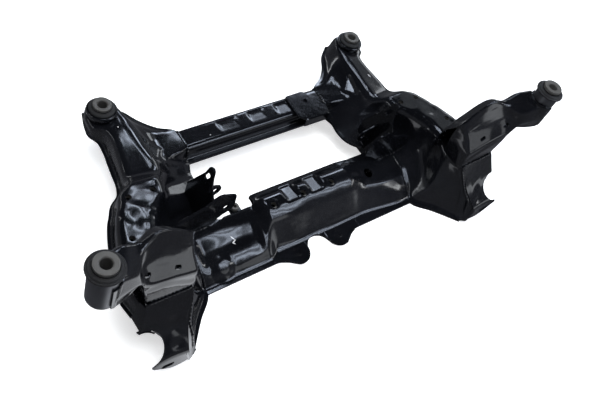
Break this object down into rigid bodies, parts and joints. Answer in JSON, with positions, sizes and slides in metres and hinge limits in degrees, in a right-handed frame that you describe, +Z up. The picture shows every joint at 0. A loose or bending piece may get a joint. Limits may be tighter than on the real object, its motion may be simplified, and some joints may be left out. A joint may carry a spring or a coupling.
{
  "type": "suspension subframe",
  "caption": "Welded sheet-steel suspension subframe in gloss black, with a central opening, raised towers, link brackets, bolt pads and rubber-bushed body mounts.",
  "frame": {"origin": "middle of the part's footprint, on the floor that it rests on", "axes": "+X across the vehicle to the side with the far crossmember's bracket, +Y from the towers to the far bushes, +Z up"},
  "size_m": [0.995, 0.479, 0.293],
  "materials": {
    "black_paint": "gloss black paint with light orange peel",
    "rubber": "matt",
    "sleeve_metal": "pale matt plating",
    "can_metal": "satin dark grey"
  },
  "bodies": {
    "root": {"side_upper_left": "black_paint", "side_upper_right": "black_paint", "side_lower_left": "black_paint", "side_lower_right": "black_paint", "near_crossmember_upper": "black_paint", "near_crossmember_lower": "black_paint", "far_crossmember_upper": "black_paint", "far_crossmember_lower": "black_paint", "far_crossmember_bracket": "black_paint", "tower_front_left": "black_paint", "tower_front_right": "black_paint", "tower_rear_left": "black_paint", "tower_rear_right": "black_paint", "tower_can_left": "can_metal", "tower_can_right": "can_metal", "tower_rubber_left": "rubber", "tower_rubber_right": "rubber", "tower_sleeve_left": "sleeve_metal", "tower_sleeve_right": "sleeve_metal", "far_can_left": "black_paint", "far_can_right": "black_paint", "far_rubber_left": "rubber", "far_rubber_right": "rubber", "far_sleeve_left": "sleeve_metal", "far_sleeve_right": "sleeve_metal", "link_bracket_left": "black_paint", "link_bracket_right": "black_paint", "saddle_left": "black_paint", "saddle_right": "black_paint", "shelf_nuts": "sleeve_metal", "pad_nuts": "sleeve_metal", "harness_tab": "black_paint", "harness_nut": "sleeve_metal"}
  },
  "joints": []
}
